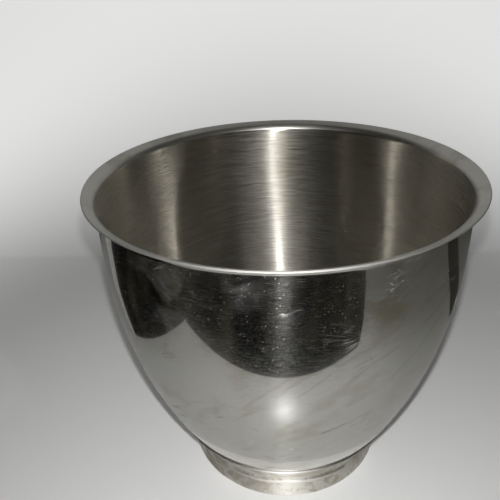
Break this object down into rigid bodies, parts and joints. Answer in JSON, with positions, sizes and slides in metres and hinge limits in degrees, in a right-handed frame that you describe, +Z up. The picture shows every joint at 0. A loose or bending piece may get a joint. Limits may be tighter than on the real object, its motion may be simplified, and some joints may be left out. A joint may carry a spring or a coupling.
{
  "type": "stand mixer bowl",
  "caption": "Deep round stainless mixing bowl with a flared lip, narrowing to a welded foot ring with bayonet ramps that lock it onto a stand mixer.",
  "frame": {"origin": "centre of the foot ring's bottom edge, on the surface the bowl stands on", "axes": "+Z up along the bowl's axis; +X to the right and +Y away in the picture's view"},
  "size_m": [0.2218, 0.2218, 0.1929],
  "materials": {
    "polished_shell": "mirror-polished stainless steel outside, circumferentially brushed inside",
    "satin_foot": "satin stainless steel with light handling marks"
  },
  "bodies": {
    "root": {"bowl_shell": "polished_shell", "foot_ring": "satin_foot"}
  },
  "joints": []
}
